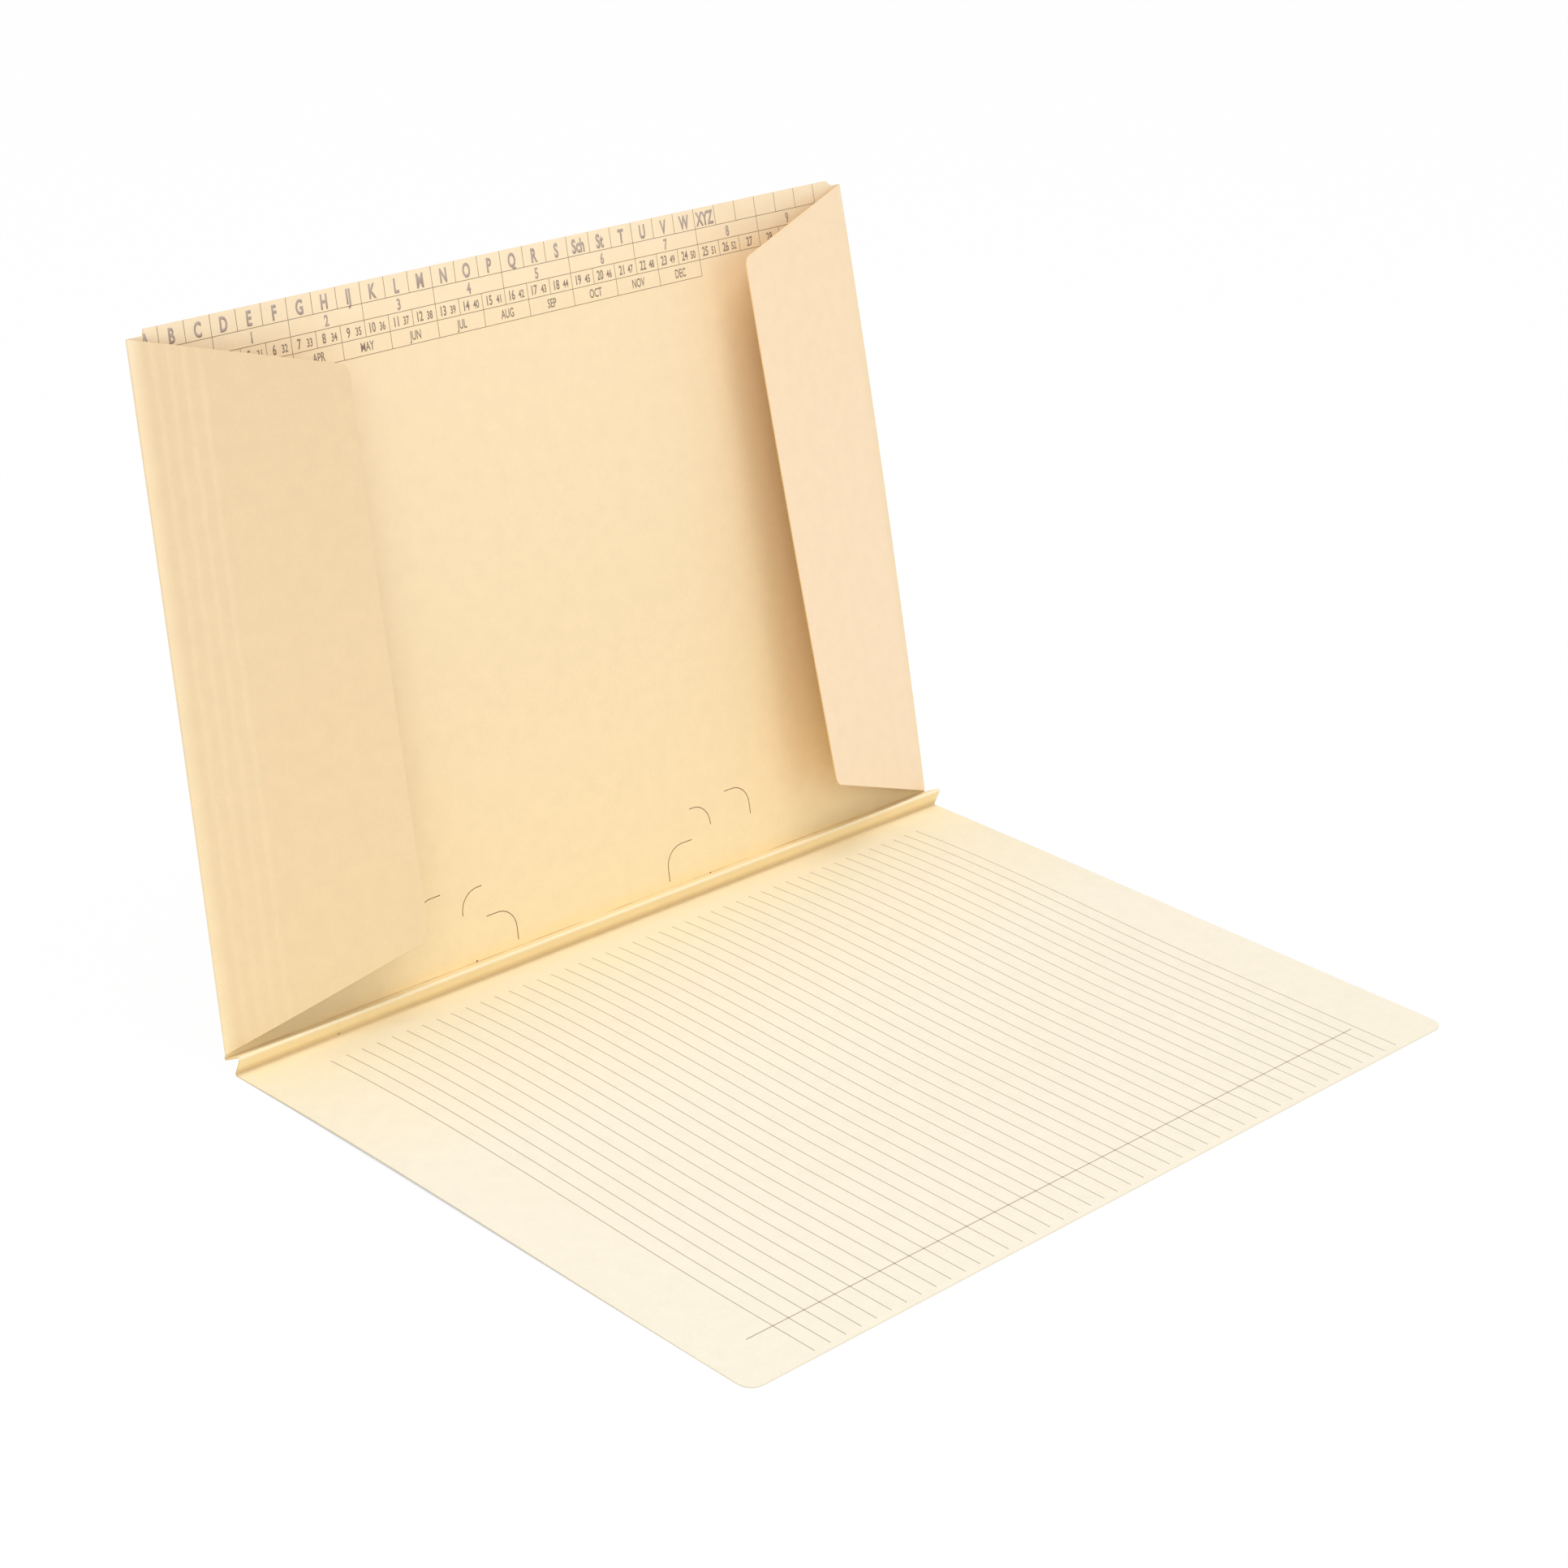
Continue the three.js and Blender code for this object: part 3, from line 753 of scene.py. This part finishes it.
lettering = [lettered(words, column_line(column + 0.5), letter_style)
             for column, words in enumerate(letters)]
lettering += [lettered(str(tens), column_line(3 * tens + 1.5), tens_style)
              for tens in range(10)]
numbers = []
for day in range(1, 32):
    middle = column_line(day - 0.5)
    if day <= shared_days:
        numbers.append(lettered(str(day), middle - day_left, day_style))
        numbers.append(lettered(str(day + shared_days), middle + week_right, week_style))
    else:
        numbers.append(lettered(str(day), middle, day_style))
numbers += [lettered(words, column_line(2 * index + 1), month_style)
            for index, words in enumerate(months)]
for name, words, material in (("index_lettering", lettering, ink("grey_lettering_ink", "#b6a397")),
                              ("index_numbers", numbers, ink("grey_number_ink", "#968371"))):
    # Faces without area, left where the letters were filled, are dissolved
    piece = joined(words, name)
    bpy.ops.object.mode_set(mode="EDIT")
    bpy.ops.mesh.select_all(action="SELECT")
    bpy.ops.mesh.dissolve_degenerate(threshold=0.000005)
    bpy.ops.object.mode_set(mode="OBJECT")
    printed(piece, material)


# Floor, light and camera. A plain white table under soft studio light, seen from the left
# front corner and a little above. The table is painted white, and looks white to the eye
# whatever light falls on it, except in a thin painted contact shadow along the card.
contact_reach = 0.012
floor_white_share = 0.97
world_light = 0.632
bpy.ops.mesh.primitive_plane_add(size=8, location=(0, 0, -0.0001))
floor = bpy.context.object
floor.name = "floor"
floor_paint = bpy.data.materials.new("white_floor")
floor_paint.use_nodes = True
tree = floor_paint.node_tree
shader = tree.nodes["Principled BSDF"]
shader.inputs["Base Color"].default_value = linear("#ffffff")
shader.inputs["Roughness"].default_value = 0.9


def seen_directly(tree):
    """1 for the rays that show a surface itself, to the eye or in gloss or glass, and else 0."""
    light_path = add_node(tree, "ShaderNodeLightPath")
    seen = light_path.outputs["Is Camera Ray"]
    for ray in ("Is Glossy Ray", "Is Transmission Ray"):
        seen = add_node(tree, "ShaderNodeMath", {"operation": "MAXIMUM"},
                        {0: seen, 1: light_path.outputs[ray]}).outputs[0]
    return seen


# The floor's white glow is darkened to olive brown near the card by ambient occlusion: a painted
# contact shadow
nearness = add_node(tree, "ShaderNodeAmbientOcclusion",
                    {"Distance": contact_reach, "samples": 16})
painted_contact_shadow = add_node(tree, "ShaderNodeValToRGB", links={"Fac": nearness.outputs["AO"]})
painted_contact_shadow.color_ramp.elements[0].color = linear("#5f5018")
painted_contact_shadow.color_ramp.elements[1].position = 0.36
white = add_node(tree, "ShaderNodeEmission", {"Strength": 1.0},
                 {"Color": painted_contact_shadow.outputs["Color"]})
amount = add_node(tree, "ShaderNodeMath", {"operation": "MULTIPLY", 1: floor_white_share},
                  {0: seen_directly(tree)})
blend = add_node(tree, "ShaderNodeMixShader",
                 links={0: amount.outputs[0], 1: shader.outputs[0], 2: white.outputs[0]})
tree.links.new(blend.outputs[0], tree.nodes["Material Output"].inputs["Surface"])
floor.data.materials.append(floor_paint)

world = bpy.data.worlds.new("studio")
bpy.context.scene.world = world
world.use_nodes = True
tree = world.node_tree
strength = add_node(tree, "ShaderNodeMapRange", {"To Min": world_light, "To Max": 1.0},
                    {"Value": seen_directly(tree)})
tree.nodes["Background"].inputs["Color"].default_value = (1, 1, 1, 1)
tree.links.new(strength.outputs["Result"], tree.nodes["Background"].inputs["Strength"])

lamp_aim = Vector((0, 0, 0.08))
for name, place, size, power in (("top_softbox", (0.0, -0.4, 2.0), 1.4, 13.4),
                                 ("left_softbox", (-1.5, -1.3, 1.3), 1.3, 7.6),
                                 ("front_softbox", (0.2, -2.0, 0.9), 1.2, 3.0)):
    bpy.ops.object.light_add(type="AREA", location=place)
    lamp = bpy.context.object
    lamp.name = name
    lamp.data.shape = "DISK"
    lamp.data.size = size
    lamp.data.energy = power
    lamp.rotation_euler = (lamp_aim - Vector(place)).to_track_quat("-Z", "Y").to_euler()

# The camera as it was solved from the photo's corners: its focal length is in photo pixels
photo_width = 1932
focal_pixels = 4123.6
sensor_width = 36
camera_place = (-0.76234, -0.74337, 0.56109)
heading, drop, roll = math.radians(45.482), math.radians(23.849), math.radians(2.22)
look = Vector((math.sin(heading) * math.cos(drop), math.cos(heading) * math.cos(drop),
               -math.sin(drop)))
level = look.cross(Vector((0, 0, 1))).normalized()
upright = level.cross(look)
right = level * math.cos(roll) + upright * math.sin(roll)
up = upright * math.cos(roll) - level * math.sin(roll)
bpy.ops.object.camera_add()
camera = bpy.context.object
camera.name = "photo_camera"
camera.data.sensor_width = sensor_width
camera.data.lens = sensor_width * focal_pixels / photo_width
camera.matrix_world = (Matrix.Translation(camera_place)
                       @ Matrix((right, up, -look)).transposed().to_4x4())
bpy.context.scene.camera = camera
bpy.context.scene.view_settings.view_transform = "Standard"
